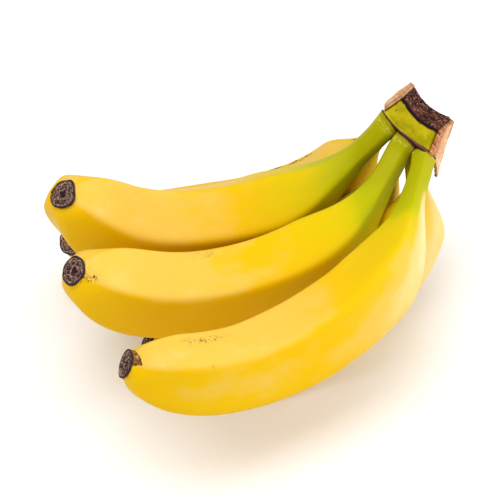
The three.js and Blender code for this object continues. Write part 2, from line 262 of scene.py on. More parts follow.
# %% [markdown]
# ## How a banana bends
#
# A banana leaves the crown straight down, swings onto its own heading within a centimetre or
# so, and then bends in one plane, faster in some parts than in others. The turning rate at a
# few stations along the length, added up step by step, gives the heading, and the headings
# added up give the axis. A drawn curve would be quicker to make, but would not say why the
# fruit bends where it does.

# %% Axis of a finger
FINGER_PITCH, ROW_GAP, ROW_DROP = 11.3, 12.5, 6
BEND_STATIONS = [0, 0.10, 0.30, 0.55, 0.80, 1]
CURL_START = 0.5
STEPS = 480
# place is in pitches along the row. heading, rise and lean aim the bend, and curl turns the
# second half aside. ridge and twist place the five ridges. girth and neck are radii, turn is
# the length of the swing, and full is the part of the length where the girth is full. lip is
# the peel round the blossom and cork the scar down the neck, both in mm. green and ripe are
# the parts of the length where it starts to ripen and is ripe. bend is the turning rate at the
# stations, after a first rate of 0. Angles are in degrees.
COLUMNS = ("name row place heading rise lean curl length ridge twist girth neck turn full"
           " lip cork green ripe bend").split()
FINGERS = [SimpleNamespace(**dict(zip(COLUMNS, row))) for row in [
    ("front_1", 0, -1.03, -173, -51.5, -19, -3, 203.5, 294.6, 5, 19.3, 5.8, 14, 0.40,
     1.1, 0.35, 0.12, 0.34, [79, 187, 76, 147, 67]),
    ("front_2", 0, 0.05, -122, -34, 42.3, -24, 212.6, 280, -18, 18.65, 6.1, 15, 0.40,
     1.7, 0.6, 0.11, 0.33, [71, 135, 63, 94, 47]),
    ("front_3", 0, 0.97, -104.1, -14, 83.1, -26.2, 217.8, 268, -25.6, 18.8, 5.4, 5, 0.42,
     2.1, 1.3, 0.11, 0.31, [-13, 133, 72, 67, 150]),
    ("back_1", 1, -1.09, 143.7, -63.9, -50.3, -23, 201, 293.3, -21, 16.6, 5.2, 9.4, 0.23,
     3.2, 0.5, -0.04, 0.09, [89, 201, 77, 129, 93]),
    ("back_2", 1, 0.2, -140, -65, 10, 0, 201, 280, 0, 16.8, 5.1, 14, 0.26,
     1.6, 0.5, -0.04, 0.12, [95, 180, 100, 120, 80]),
    ("back_3", 1, 0.86, -83, -40.2, 83.7, -12.4, 193.2, 270.5, -6, 15.8, 5, 9.8, 0.21,
     5.2, 0.9, -0.04, 0.10, [150, 153, 49, 165, 94])]]
# A neck pushed aside: the middle and half-length of the push, in mm from its start, and mm.
NECK_SWAY = {"front_3": (12, 13, 1.1)}


def unit(vectors):
    """Each vector divided by its length."""
    return vectors / np.linalg.norm(vectors, axis=-1, keepdims=True)


def swing(start, headings, part):
    """Part of the way round the arc from one direction to each of the others: sin((1-p)q) and
    sin(pq), over sin q, weigh the two, where q is the angle between them."""
    q = np.arccos(np.clip(headings @ start, -1, 1))[:, None]
    p = part[:, None]
    return unit(start * np.sin((1 - p) * q) + headings * np.sin(p * q))


def axis_of(finger):
    """Headings cos(turned) shoulder + sin(turned) inside, where turned is the sum of the
    rates; points are the start plus the sum of the headings times the step, plus the sway."""
    t = np.linspace(0, 1, STEPS + 1)
    shoulder = aim(finger.heading, finger.rise)
    inside = turn(aim(finger.heading, finger.rise + 90), shoulder, finger.lean)
    side = np.cross(shoulder, inside)
    rates = np.interp(t[:-1] + 0.5 / STEPS, BEND_STATIONS, [0] + finger.bend)
    turned = np.radians(np.concatenate([[0], np.cumsum(rates) / STEPS]))[:, None]
    aside = np.radians(finger.curl) * ease((t - CURL_START) / (1 - CURL_START))[:, None]
    planar = np.cos(turned) * shoulder + np.sin(turned) * inside
    planar = np.cos(aside) * planar + np.sin(aside) * side
    ahead = swing(-UP, planar, ease(t * finger.length / finger.turn))
    across = unit(side - (ahead @ side)[:, None] * ahead)
    back = finger.row
    start = crown_point(finger.place * FINGER_PITCH, -ROW_DROP * back, -ROW_GAP * back)
    steps = np.cumsum(ahead[:-1], 0) * finger.length / STEPS
    point = start + np.concatenate([np.zeros((1, 3)), steps])
    middle, reach, sway = NECK_SWAY.get(finger.name, (0, 1, 0))
    point[:, 0] += sway * bump_at(t * finger.length, middle, reach)
    return SimpleNamespace(t=t, point=point, ahead=ahead, across=across,
                           inward=np.cross(across, ahead))


AXES = [axis_of(finger) for finger in FINGERS]
for finger, axis in zip(FINGERS, AXES):
    print(finger.name, "tip at", np.round(axis.point[-1], 1))

# %% [markdown]
# ## The five-sided section
#
# A banana is not round: five flats meet in soft ridges, which fade at the tip. Each flat adds
# a term, the cosine of the angle away from it, and a power mean of the terms rounds the ridges
# between them. A higher power is nearer to a sharp pentagon. The girth swells from the neck to
# the belly, and closes at the tip as an ellipse does.

# %% Girth
# Where the neck ends and the tip starts, as parts of the length, and the neck's widening.
ROWS = [dict(neck_end=0.10, tip_start=0.79, flare=0.9),
        dict(neck_end=0.07, tip_start=0.72, flare=0.2)]
FLARE_LENGTH = 13
TIP_RADIUS = 6.2
TIP_POWER, TIP_BLUNTNESS, TIP_ROUNDING = 2.8, 0.6, 10
RIDGE_SHARPNESS, RIDGE_LEVEL, NECK_ROUNDNESS = 14, 1.07, 0.5
FLAT_STEP = 72
AXIS_SKIP = 4


def girth(finger, t, angle):
    """Radius(t) times the pentagon: 1 over the power mean of max(0, cos(angle - flat)). The
    pentagon fades to a circle at the tip, and half-way to one in the neck."""
    row = ROWS[finger.row]
    swell = ease((t - row["neck_end"]) / (finger.full - row["neck_end"]))
    flare = row["flare"] * (1 - ease(t * finger.length / FLARE_LENGTH))
    body = mix(finger.neck, finger.girth, swell) + flare
    x = np.clip((t - row["tip_start"]) / (1 - row["tip_start"]), 0, 1)
    radius = TIP_RADIUS + (body - TIP_RADIUS) * (1 - x**TIP_POWER) ** TIP_BLUNTNESS
    flats = np.radians(finger.ridge + (np.arange(5) + 0.5) * FLAT_STEP)
    wound = np.asarray(angle - np.radians(finger.twist) * t)
    terms = np.maximum(0, np.cos(wound[..., None] - flats)) ** RIDGE_SHARPNESS
    pentagon = terms.sum(-1) ** (-1 / RIDGE_SHARPNESS) / RIDGE_LEVEL
    rounded = np.maximum(x**TIP_ROUNDING, NECK_ROUNDNESS * (1 - swell))
    return radius * mix(pentagon, 1, rounded)


def clearance(finger, axis, points):
    """How far points are outside a finger: the distance to its nearest axis point, minus its
    girth at that place and angle. Squared distances are p.p - 2 p.q + q.q."""
    spine = axis.point[::AXIS_SKIP]
    squared = (points**2).sum(-1)[..., None] - 2 * points @ spine.T + (spine**2).sum(-1)
    near = squared.argmin(-1) * AXIS_SKIP
    offset = points - axis.point[near]
    angle = np.arctan2((offset * axis.across[near]).sum(-1),
                       (offset * axis.inward[near]).sum(-1))
    return np.linalg.norm(offset, axis=-1) - girth(finger, axis.t[near], angle)


print("belly ridge and flat, mm:", np.round(girth(FINGERS[0], 0.5, np.radians([298, 334])), 1))

# %% [markdown]
# ## The peel's surface
#
# The skin is the girth carried along the axis. Three things make it fruit and not a drawing:
# slow unevenness along the length, fine flutes where the neck is stringy, and shallow hollows
# where it has shrunk. They could be sculpted by hand, but as named patches they can be moved.

# %% Rings and unevenness
RINGS, SIDES, CROWDING = 250, 90, 0.45
# The lip of peel round the withered blossom: its radius at the end, how much it widens for each
# mm back from there, and how sharply it meets the fruit. Its rings: part of the radius, and
# part of the lip's length.
LIP_RADIUS, LIP_SLOPE, LIP_SHARPNESS, LIP_START = 6.5, 0.38, 8, 0.97
TIP_CAP = [(1.0, 0.08), (1.0, 0.30), (1.0, 0.55), (1.0, 0.80), (0.99, 0.97), (0.94, 1.0),
           (0.80, 0.5), (0.55, 0.3), (0.25, 0.3)]
# Hollows: finger, middle along the length, degrees from the first ridge, half-length as a part
# of the length, half-width in degrees, and depth in mm.
HOLLOWS = [("front_3", 0.955, 80, 0.045, 42, 1.2), ("front_3", 0.88, 88, 0.05, 42, 0.9),
           ("front_3", 0.81, 92, 0.11, 46, 2.5), ("front_1", 0.95, 256, 0.05, 45, 1.7),
           ("front_3", 0.40, 64, 0.10, 42, 1.8), ("front_3", 0.20, 70, 0.05, 40, 0.7),
           ("back_2", 0.075, 304, 0.04, 50, 2.4)]
# Slow unevenness: each noise is its height and size in mm, and what its seed is moved by.
SLOW_NOISES = [(0.16, 24, 0), (0.07, 9, 20)]
# Flutes of the neck: height, width and seed, their stretch, and where they fade, in mm.
FLUTE_HEIGHT, FLUTE_WIDTH, FLUTE_SEED, FLUTE_STRETCH = 0.05, 2.2, 40, 0.12
FLUTE_END, FLUTE_FADE, SMOOTH_START = 20, 30, 12


def ring_places(finger, axis):
    """Where the rings lie: from the foot, t grows by s - crowding x sin(2 pi s) / 2 pi, which
    crowds them at both ends, and the rings of the lip all lie at the end."""
    base = axis.point[0] - CROWN_SPOT
    buried = max(0, base @ UP - foot_level(base @ ACROSS, base @ FRONT)) / finger.length
    s = np.linspace(0, 1, RINGS + 1)
    t = mix(buried, 1, s - CROWDING * np.sin(2 * np.pi * s) / (2 * np.pi))
    t = np.concatenate([t, np.ones(len(TIP_CAP))])[:, None]
    shrink, forward = np.concatenate([np.tile([1.0, 0.0], (RINGS + 1, 1)), TIP_CAP]).T
    return (t, shrink[:, None], forward[:, None] * finger.lip,
            (t - buried) * finger.length)


def hills(finger, place, table):
    """The sum of hills round each patch's middle, along the length and round the section."""
    total = np.zeros(place.t.shape)
    for name, along, heading, length, width, height in table:
        if name == finger.name:
            hill = height * bump_at(place.t, along, length)
            total += hill * bump_at(off_from(place.section, heading), 0, width)
    return total


def unevenness(finger, straight, run):
    """Change of radius: slow noise of a hundredth of the girth, and flutes near the crown."""
    seed = FINGERS.index(finger)
    slow = waves(straight, *((height, size, seed + shift) for height, size, shift in SLOW_NOISES))
    flutes = FLUTE_HEIGHT * wander(straight * [1, 1, FLUTE_STRETCH], FLUTE_WIDTH,
                                   seed + FLUTE_SEED)
    return (slow * ease(run / SMOOTH_START)
            + flutes * (1 - ease((run - FLUTE_END) / FLUTE_FADE)))


print("deepest hollow, mm:", max(hollow[-1] for hollow in HOLLOWS))

# %% [markdown]
# ## Where fingers press
#
# A banana that grows against its neighbour gives way to it, and both end up with flats.
# Soft-body simulation could press them together as well, but pushing the skin back to a set
# gap takes a blink and comes out the same each time.

# %% Skin of a finger
# The gap to a finger that is already there, at the root of the neck and beyond, and where it
# grows: mm along the neck, and how late.
ROOT_GAP, TOUCH_GAP, GAP_GROWTH, GAP_DELAY = 0.03, 0.35, 14, 0.6
GIVE_WAY_PASSES = 7
NECK_SHEAR, NECK_OVERLAP = 7.0, 0.2


def finger_skin(finger, axis, neighbours):
    """Axis point + reach times the direction at each angle, where reach is the power mean of
    girth and lip, plus unevenness, less hollows, less what is needed to clear the neighbours."""
    t, shrink, forward, run = ring_places(finger, axis)
    point, ahead, inward, across = (
        np.stack([np.interp(t, axis.t, getattr(axis, key)[:, k]) for k in range(3)], -1)
        for key in ("point", "ahead", "inward", "across"))
    angle = np.radians(finger.ridge) + np.arange(SIDES) * 2 * np.pi / SIDES
    angle = angle + np.radians(finger.twist) * t
    around = np.cos(angle)[..., None] * inward + np.sin(angle)[..., None] * across
    run = run + 0 * angle
    to_end = (1 - t) * finger.length + finger.lip - forward
    lip = (LIP_RADIUS + LIP_SLOPE * to_end) * (t > LIP_START)
    on_fruit = forward == 0
    body = girth(finger, t, angle) * on_fruit
    reach = (body**LIP_SHARPNESS + lip**LIP_SHARPNESS) ** (1 / LIP_SHARPNESS) * shrink
    straight = np.stack([reach * np.cos(angle), reach * np.sin(angle), run], -1)
    place = SimpleNamespace(t=t + 0 * angle,
                            section=np.arange(SIDES) * 360 / SIDES + 0 * angle)
    reach = reach + unevenness(finger, straight, run) * shrink
    reach = reach - hills(finger, place, HOLLOWS) * on_fruit
    middle = point + forward[..., None] * ahead
    skin = middle + around * reach[..., None]
    gap = mix(ROOT_GAP, TOUCH_GAP, ease(run / GAP_GROWTH - GAP_DELAY))
    for other, other_axis in neighbours:
        for _ in range(GIVE_WAY_PASSES):
            reach = reach - np.maximum(0, gap - clearance(other, other_axis, skin))
            skin = middle + around * reach[..., None]
    offset = skin[0] - CROWN_SPOT
    lift = foot_level(offset @ ACROSS, offset @ FRONT) + NECK_OVERLAP - offset @ UP
    skin = skin + (np.clip(1 - run / NECK_SHEAR, 0, 1) * lift)[..., None] * UP
    skin[..., 2] = np.maximum(skin[..., 2], 0)
    return SimpleNamespace(points=skin, run=run, to_end=to_end + 0 * angle, straight=straight,
                           t=place.t, section=place.section)


print("rings and points round each:", RINGS + 1 + len(TIP_CAP), SIDES)

# %% [markdown]
# ## What the peel remembers
#
# Ripening starts at the tip and reaches the neck last, wax lies on the flats that face the
# light, with a painted sheen over it there, and scars stay where something scraped the peel.
# None of that follows a pattern in space, so each point carries a few values of its own, and
# the finish reads them as attributes. Painting a mask by hand would do the same, but it could
# not be rebuilt from this file.

# %% Marks on the peel
# Each patch: finger, middle along the length, degrees from the first ridge, half-length as a
# part of the length, half-width in degrees, and strength.
SPECKLES = [("front_2", 0.998, 4, 0.011, 20, 1.0), ("front_2", 0.66, 66, 0.07, 9, 0.45),
            ("front_3", 0.85, 50, 0.07, 9, 0.8)]
SCARS = [("back_1", 0.39, 138, 0.024, 6, 1.5), ("back_1", 0.335, 134, 0.014, 6, 1.6),
         ("back_1", 0.29, 129, 0.027, 5, 1.5), ("back_1", 0.125, 130, 0.014, 5, 1.4)]
# Wax patches that carry a painted sheen: the flanks of front_3 and back_3 that face the right-hand
# light, and one facet near the tip of front_1.
WAX_AND_SHEEN_PATCHES = [("front_3", 0.36, 303, 0.15, 34, 2.0), ("front_3", 0.19, 300, 0.10, 30, 1.8),
          ("front_3", 0.80, 325, 0.20, 30, 0.45), ("back_3", 0.26, 305, 0.26, 42, 2.1),
          ("front_1", 0.96, 256, 0.05, 60, 0.3)]
# Wax with a painted sheen on two flats, the top one where the overhead light falls and one
# behind it: their middles in degrees, and how far each reaches and fades.
TOP_FLAT, TOP_EDGE, TOP_FADE, TOP_START, TOP_GROWTH = 36, 46, 16, 0.37, 0.40
REAR_FLAT, REAR_WIDTH, REAR_DELAY = 110, 34, 0.8
# The torn corner of peel beside one blossom end: degrees of its point and how far it spreads
# round the section on each side of it, then its length and its soft edge in mm.
CORNER_FINGER, CORNER_HEADING, CORNER_SPREAD, CORNER_RISE = "front_3", 4, 95, 9
CORNER_LENGTH, CORNER_EDGE = 3.2, 0.5
STREAK, STREAK_SIZE, STREAK_STRETCH, STREAK_SEED = 0.05, 6, 0.15, 60
CORK_SLANT, NEAR_REACH, SEED_SHIFT = 1.6, 1.5, 0.3


def wax_and_sheen(finger, skin):
    """How much wax and painted sheen the skin carries: the top flat from the middle on, where
    the overhead light falls, the flat behind it where the peel is ripe, and the patches of
    WAX_AND_SHEEN_PATCHES on lit flanks."""
    top = ease((TOP_EDGE - np.abs(off_from(skin.section, TOP_FLAT))) / TOP_FADE)
    top = top * ease((skin.t - TOP_START) / TOP_GROWTH)
    ripe = (skin.t - finger.green) / (finger.ripe - finger.green)
    rear = bump_at(off_from(skin.section, REAR_FLAT), 0, REAR_WIDTH) * ease(ripe - REAR_DELAY)
    return np.maximum(np.maximum(top, rear), hills(finger, skin, WAX_AND_SHEEN_PATCHES))


def torn_corner(finger, skin):
    """1 inside a triangle: its length falls in a straight line with the angle from its point."""
    off = off_from(skin.section, CORNER_HEADING)
    length = CORNER_LENGTH * np.minimum(1 - off / CORNER_SPREAD, 1 + off / CORNER_RISE)
    inside = ease((length - skin.to_end) / CORNER_EDGE + 0.5)
    return inside * (finger.name == CORNER_FINGER)


def peel_marks(finger, skin):
    """What each point carries. ripe is 0 where the peel turns and 1 where it is yellow, and
    near is e to the power of minus the distance to the next finger over the reach."""
    seed = FINGERS.index(finger)
    streak = STREAK * wander(skin.straight * [1, 1, STREAK_STRETCH], STREAK_SIZE,
                             seed + STREAK_SEED)
    ripe = (skin.t + streak - finger.green) / (finger.ripe - finger.green)
    others = [clearance(other, axis, skin.points)
              for other, axis in zip(FINGERS, AXES) if other is not finger]
    aside = (skin.points - AXES[seed].point[0]) @ ACROSS
    return dict(ripe=np.clip(ripe, -0.5, 2.5), run=skin.run, to_end=skin.to_end,
                cork=finger.cork * (1 + CORK_SLANT * ease(aside / finger.neck)),
                wax_and_sheen=wax_and_sheen(finger, skin), corner=torn_corner(finger, skin),
                near=np.exp(-np.min(others, 0) / NEAR_REACH),
                scarred=np.minimum(1, hills(finger, skin, SCARS)),
                speckled=np.minimum(1, hills(finger, skin, SPECKLES)),
                straight=skin.straight * MM + [0, 0, SEED_SHIFT * seed])


print("patches of marks:", len(SPECKLES), len(SCARS), len(WAX_AND_SHEEN_PATCHES))

# %% [markdown]
# ## Six bananas
#
# The front row is laid first and the back row gives way to it, in the order in which the
# solids were made, so that the same finger yields at each touch.

# %% Build the peel
peels = []
for number, (finger, axis) in enumerate(zip(FINGERS, AXES)):
    skin = finger_skin(finger, axis, list(zip(FINGERS, AXES))[:number])
    peel = tube(f"peel_{finger.name}", skin.points, peel_marks(finger, skin))
    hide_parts(f"banana_{finger.name}")
    peels.append(peel)
    print(peel.name, len(peel.data.polygons), "faces")

# %% [markdown]
# ## Blossom ends
#
# The flower withers to a hard dark button at the tip: a short stub whose face has dried in
# uneven rings round a dished middle. A profile gives the wall, the rim and the dish, and two
# kinds of noise crumple it, coarse across the face and fine along the rings.

# %% Blossom buttons
STUB_RADIUS, STUB_SIDES, STUB_RINGS = 6.4, 130, 84
# From inside the fruit to the middle of the dish: mm beyond the lip, and part of the radius.
STUB_PROFILE = [(-1.6, 0.80), (-0.9, 0.94), (-0.3, 0.99), (0.25, 1.01), (0.62, 0.99),
                (0.78, 0.95), (0.72, 0.90), (0.42, 0.86), (0.30, 0.80), (0.42, 0.72),
                (0.40, 0.62), (0.20, 0.52), (0.22, 0.42), (0.05, 0.32), (-0.10, 0.22),
                (-0.45, 0.13), (-0.70, 0.03)]
# The rim's bulges and notches: place round it in degrees, width in degrees, part of the radius.
RIM_SHAPES = {"front_1": [(30, 22, 0.20), (66, 45, 0.04), (246, 50, 0.10), (290, 26, 0.13),
                          (330, 30, 0.06), (146, 6, -0.20), (150, 50, -0.12)],
              "front_2": [(22, 22, 0.16), (262, 18, 0.07), (204, 30, 0.03)],
              "front_3": [(0, 30, 0.07), (180, 30, -0.03)],
              "back_1": [(292, 40, 0.10), (205, 50, 0.12)]}
FACE_RADIUS, FACE_FADE, FACE_DEPTH = 0.93, 0.08, 1.3
# Rings of the face: radians of sine out to the rim, how far noise bends them, and their height.
FACE_RINGS, RING_BEND, BEND_SIZE, RING_HEIGHT = 16, 2.4, 3.0, 0.10
# Noises: height and size, in mm on the wall and the face, and on a circle for the rim.
NOISE_CIRCLE, RIM_WAVE, RIM_NOISE = 6, 0.02, (0.035, 2.1)
WALL_NOISE, FACE_CRESTS = (0.10, 0.8), [(0.30, 1.5), (0.12, 0.6)]


def blossom_button(finger, axis, seed):
    """End point + profile length ahead + profile radius round it, with waves round the rim.
    The face has crests, and rings: the sine of the radius times 16, bent by noise."""
    profile = np.array(STUB_PROFILE)
    place = np.linspace(0, len(profile) - 1, STUB_RINGS)
    along, width = (np.interp(place, np.arange(len(profile)), column)[:, None]
                    for column in profile.T)
    angle = np.arange(STUB_SIDES) * 2 * np.pi / STUB_SIDES
    rim = np.stack([np.cos(angle), np.sin(angle), 0 * angle], -1) * NOISE_CIRCLE
    ragged = RIM_WAVE * np.cos(5 * angle + seed) + RIM_WAVE * np.sin(3 * angle - 2 * seed)
    ragged = ragged + waves(rim, (*RIM_NOISE, seed))
    for middle, spread, size in RIM_SHAPES.get(finger.name, []):
        ragged = ragged + size * bump_at(off_from(np.degrees(angle), middle), 0, spread)
    reach = STUB_RADIUS * width * (1 + ragged)
    flat = np.stack([reach * np.cos(angle), reach * np.sin(angle), along + 0 * reach], -1)
    face = ease((FACE_RADIUS - width) / FACE_FADE) * ease(along + FACE_DEPTH)
    rings = np.sin(FACE_RINGS * width + RING_BEND * wander(rim, BEND_SIZE, seed + 3))
    crests = sum(rise * crinkle(flat, size, seed + k)
                 for k, (rise, size) in enumerate(FACE_CRESTS))
    height = face * (RING_HEIGHT * rings + crests)
    reach = reach + waves(flat, (*WALL_NOISE, seed + 9))
    points = (axis.point[-1] + (finger.lip + along + height)[..., None] * axis.ahead[-1]
              + (reach * np.cos(angle))[..., None] * axis.inward[-1]
              + (reach * np.sin(angle))[..., None] * axis.across[-1])
    marks = dict(width=width + 0 * angle, raised=height, face=face + 0 * angle,
                 straight=flat * MM + [0, 0, 0.1 * seed])
    return tube(f"blossom_{finger.name}", points, marks)


buttons = []
for seed, (finger, axis) in enumerate(zip(FINGERS, AXES)):
    button = blossom_button(finger, axis, seed)
    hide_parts(f"blossom_end_{finger.name}")
    buttons.append(button)
print(len(buttons), "blossom ends of", len(buttons[0].data.polygons), "faces")

# %% [markdown]
# ## The crown
#
# The crown is the stub of stalk that the necks grow from. Seen from above it is a rounded
# rectangle, and it swells over each neck. Walking once round that rectangle is one parameter
# and the height from foot to cut is the other, which gives a wall with soft corners. A box
# with bevels would be simpler, but could not follow the bowed foot and the sagging top.

# %% Crown skin
# Each pair is a measure at the front and at the back, in mm.
FOOT_LEFT, FOOT_RIGHT = (-19.8, -21.2), (15.0, 21.6)
TOP_LEFT, TOP_RIGHT, TOP_LEVEL = (-17.4, -17.6), (10.8, 11.4), (12.8, 15.2)
TOP_DIP, TOP_MIDDLE, TOP_HALF_WIDTH = (1.6, 2.7), (-2.3, -4.2), (9.4, 11.5)
NECKS, LOBE_DEPTH, TOP_SWELL = 3, 0.9, 0.9
CUT_THICKNESS, WOOD_THICKNESS = 1.1, (2.6, 1.6)
BETWEEN_WOOD = np.array(WOOD_THICKNESS) + SEAM
CORNER_POWER, WALL_SIDES, WALL_RINGS, WALL_CROWDING, UNDER_CUT = 12, 240, 46, 1.25, 0.15
CLOSING = [0.35, 0.75, 0.94]
# Relief of the scar, each a height, its level above the foot and its width, in mm: a lip, a
# groove above it, and the drawn-in edge. Then the noises: height, size and seed.
LIP, GROOVE, FOOT_EDGE = (0.25, 0.7, 0.5), (-0.2, 1.8, 0.6), (-0.45, 0, 0.45)
SCAR_NOISE, SKIN_NOISES = (0.7, 2.3, 3), [(0.16, 5, 11), (0.07, 1.8, 12)]


def crown_skin(side, depth, height, insets, lowered):
    """Across, up and front of a place: side, depth and height run 0 to 1 from left to right,
    front to back and foot to cut, each mixed between the measures of the crown's corners."""
    left = mix(mix(*FOOT_LEFT, depth), mix(*TOP_LEFT, depth), height) + insets[0]
    right = mix(mix(*FOOT_RIGHT, depth), mix(*TOP_RIGHT, depth), height) - insets[1]
    lobes = 0.5 + 0.5 * np.cos(2 * np.pi * (NECKS * side - 0.5))
    swell = mix(LOBE_DEPTH * lobes, TOP_SWELL * np.sin(np.pi * side), height)
    front = mix(CROWN_FRONT + swell, CROWN_BACK - swell, depth) - mix(1, -1, depth) * TOP_SWELL
    across = mix(left, right, side)
    off = (across - mix(*TOP_MIDDLE, depth)) / mix(*TOP_HALF_WIDTH, depth)
    dip = mix(*TOP_DIP, depth) * np.maximum(0, 1 - off**2)
    top = mix(*TOP_LEVEL, depth) - dip - lowered
    return across, mix(foot_level(across, front), top, height), front


def crown_wall():
    """Rings round a rounded rectangle: a square walked at even pace, drawn in at its corners
    by (|a|^12 + |b|^12)^(-1/12), with a lip over the foot and small hollows in the skin."""
    walk = np.linspace(0, 4, WALL_SIDES, endpoint=False)
    a = np.interp(walk, [0, 1, 2, 3, 4], [-1, 1, 1, -1, -1])
    b = np.interp(walk, [0, 1, 2, 3, 4], [-1, -1, 1, 1, -1])
    draw = (np.abs(a) ** CORNER_POWER + np.abs(b) ** CORNER_POWER) ** (-1 / CORNER_POWER)
    rings = np.linspace(0, 1, WALL_RINGS) ** WALL_CROWDING
    height = np.concatenate([[0, 0, 0], rings, [1, 1, 1]])[:, None]
    shrink = np.concatenate([CLOSING, np.ones(WALL_RINGS), CLOSING[::-1]])[:, None]
    side, depth = (0.5 + 0.5 * value * draw * shrink for value in (a, b))
    across, up, front = crown_skin(side, depth, height, BETWEEN_WOOD, CUT_THICKNESS + UNDER_CUT)
    level = up - foot_level(across, front)
    place = np.stack([across, up, front], -1)
    lip, groove, edge = (height * bump_at(level, middle, width)
                         for height, middle, width in (LIP, GROOVE, FOOT_EDGE))
    relief = (lip + groove) * (1 + waves(place, SCAR_NOISE)) + edge
    out = (relief + waves(place, *SKIN_NOISES)) * (shrink == 1)
    out_across, out_front = (np.abs(v) ** (CORNER_POWER - 1) * np.sign(v)
                             for v in (a * draw, -b * draw))
    points = crown_point(across + out * out_across, up, front + out * out_front)
    return points, dict(level=level, height=height + 0 * side, side=side, straight=place * MM)


crown = tube("crown_skin", *crown_wall())
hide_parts("crown")
print("crown:", len(crown.data.polygons), "faces")

# %% [markdown]
# ## The dried cut
#
# Where the knife went through, the stalk has dried to a dark sheet full of torn fibres. It is
# a thin body over the sagging top. The fibres stand up as sharp crests of noise that is
# stretched from front to back, the way the stalk's bundles were pulled by the blade, and the
# front edge curls a little over the green skin.

# %% Dried sheet
CUT_WIDTH, CUT_DEPTH, CUT_OVERLAP = 27, 25, 0.1
FIBRE_RIM, CURL_RIM, CURL, DROOP = 0.9, 0.8, 0.35, 0.25
CUT_POINTS = (120, 100)
# Fibres: height, size and seed of each layer, then the stretch of the first.
FIBRES, FIBRE_STRETCH, TUFTS = [(0.26, 1.3, 21), (0.26, 0.7, 22)], 0.55, (0.30, 4, 23)


def dried_sheet():
    """Top of the crown + fibre height; the rim is ragged by noise along it."""
    side, depth = np.meshgrid(*(np.linspace(0, 1, points) for points in CUT_POINTS))
    rim = np.minimum(np.minimum(side, 1 - side) * CUT_WIDTH,
                     np.minimum(depth, 1 - depth) * CUT_DEPTH)
    across, up, front = crown_skin(side, depth, 1, BETWEEN_WOOD - CUT_OVERLAP, 0)
    place = np.stack([across, up, front], -1)
    fibres = sum(height * crinkle(where, size, seed) for where, (height, size, seed)
                 in zip((place * [1, 1, FIBRE_STRETCH], place), FIBRES))
    raised = (fibres + waves(place, TUFTS)) * ease(rim / FIBRE_RIM)
    edge = ease(1 - rim / CURL_RIM)
    front = front + edge * (CURL + CURL * wander(place, 1.6, 24)) * (1 - 2 * depth)
    droop = DROOP * edge * (1 + wander(place, 2.0, 25))
    return (crown_point(across, up + raised - DROOP * edge, front),
            crown_point(across, up - CUT_THICKNESS - droop, front),
            dict(raised=raised, rim=rim, straight=place * MM))


cut = sheet_between("dried_cut", *dried_sheet())
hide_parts("crown_cut_top")
print("dried cut:", len(cut.data.polygons), "faces")

# %% [markdown]
# ## Bare wood
#
# Two more knife cuts left slips of pale fibrous wood at the crown's ends. Each is a thin slab
# over the end of the crown, and the right one splinters downwards at the back. Grain is a
# shallow noise that is stretched along the slip, and the edges are torn by the same noise.

# %% Wood slips
# Each pair is for the left and the right slip. The taper is in mm, thinner at the foot.
WOOD_BEVEL, WOOD_TAPER, TAPER_POWER = (0.16, 0), (1.1, 0), 3
WOOD_SPLINTER, SPLINTER_START = (0, 0.22), 0.3
WOOD_LIFT, WOOD_OVERLAP, INNER_GRAIN, WOOD_POINTS = 0.15, 0.1, 0.3, 90
# Grain: the stretch along the slip, the height, the size and the seed of each layer.
GRAINS = [(0.12, 0.20, 0.9, 31), (0.3, 0.16, 2.2, 33)]
TORN, TORN_STRETCH, TORN_SIZE, TORN_SEED, TORN_PART = 0.55, 0.2, 1.1, 35, 5


def wood_slip(side):
    """End of the crown at two insets, with grain added outwards and torn edges."""
    inwards = 1 - 2 * side
    even = np.linspace(0, 1, WOOD_POINTS)
    depth, part = np.meshgrid(even, even, indexing="ij")
    behind = np.clip((depth - SPLINTER_START) / (1 - SPLINTER_START), 0, 1)
    foot = -WOOD_SPLINTER[side] * behind**2
    across, up, front = crown_skin(side, depth, mix(foot, 1, part), (0, 0), 0)
    bevel = WOOD_BEVEL[side] * (1 - part)
    place = np.stack([across, up, front], -1)
    grain = sum(waves(place * [1, stretch, 1], (height, size, seed + side))
                for stretch, height, size, seed in GRAINS)
    torn = TORN * wander(place * [1, TORN_STRETCH, 1], TORN_SIZE, TORN_SEED + side)
    up = up + torn * (ease((part - 1) * TORN_PART + 1) - ease(1 - part * TORN_PART))
    rise = bevel * (TOP_LEVEL[0] - foot_level(across, front))
    taper = WOOD_TAPER[side] * (1 - part) ** TAPER_POWER
    inset = BETWEEN_WOOD[side] + WOOD_OVERLAP + INNER_GRAIN * grain
    return (crown_point(across - inwards * (grain - WOOD_LIFT - taper), up + rise, front),
            crown_point(across + inwards * inset, up, front),
            dict(part=part, depth=depth, torn=side + 0 * part, straight=place * MM))


slips = []
for side, hand in enumerate(["left", "right"]):
    slip = sheet_between(f"wood_slip_{hand}", *wood_slip(side))
    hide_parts(f"crown_wood_{hand}")
    slips.append(slip)
print("wood slips:", [len(slip.data.polygons) for slip in slips])

# %% [markdown]
# ## Tools for finishes
#
# A finish is a tree of nodes, which could be drawn in the shader editor. Written out in plain
# calls it gets long, so here a node's output can be added, multiplied and eased as a number
# can, and a mask reads as a formula. Colours are given as they look on a screen, 0 to 255, and
# turned into the linear values that the renderer wants.

# %% Nodes as numbers
def paint(red, green, blue):
    """Screen values to linear light: ((c + 0.055) / 1.055) to the power 2.4, or c / 12.92."""
    c = np.array([red, green, blue]) / 255
    linear = np.where(c <= 0.04045, c / 12.92, ((c + 0.055) / 1.055) ** 2.4)
    return (*linear.tolist(), 1.0)


def operator(operation):
    """A method that feeds its values to one node of arithmetic."""
    return lambda self, *others: self.nodes.sums(operation, self, *others)


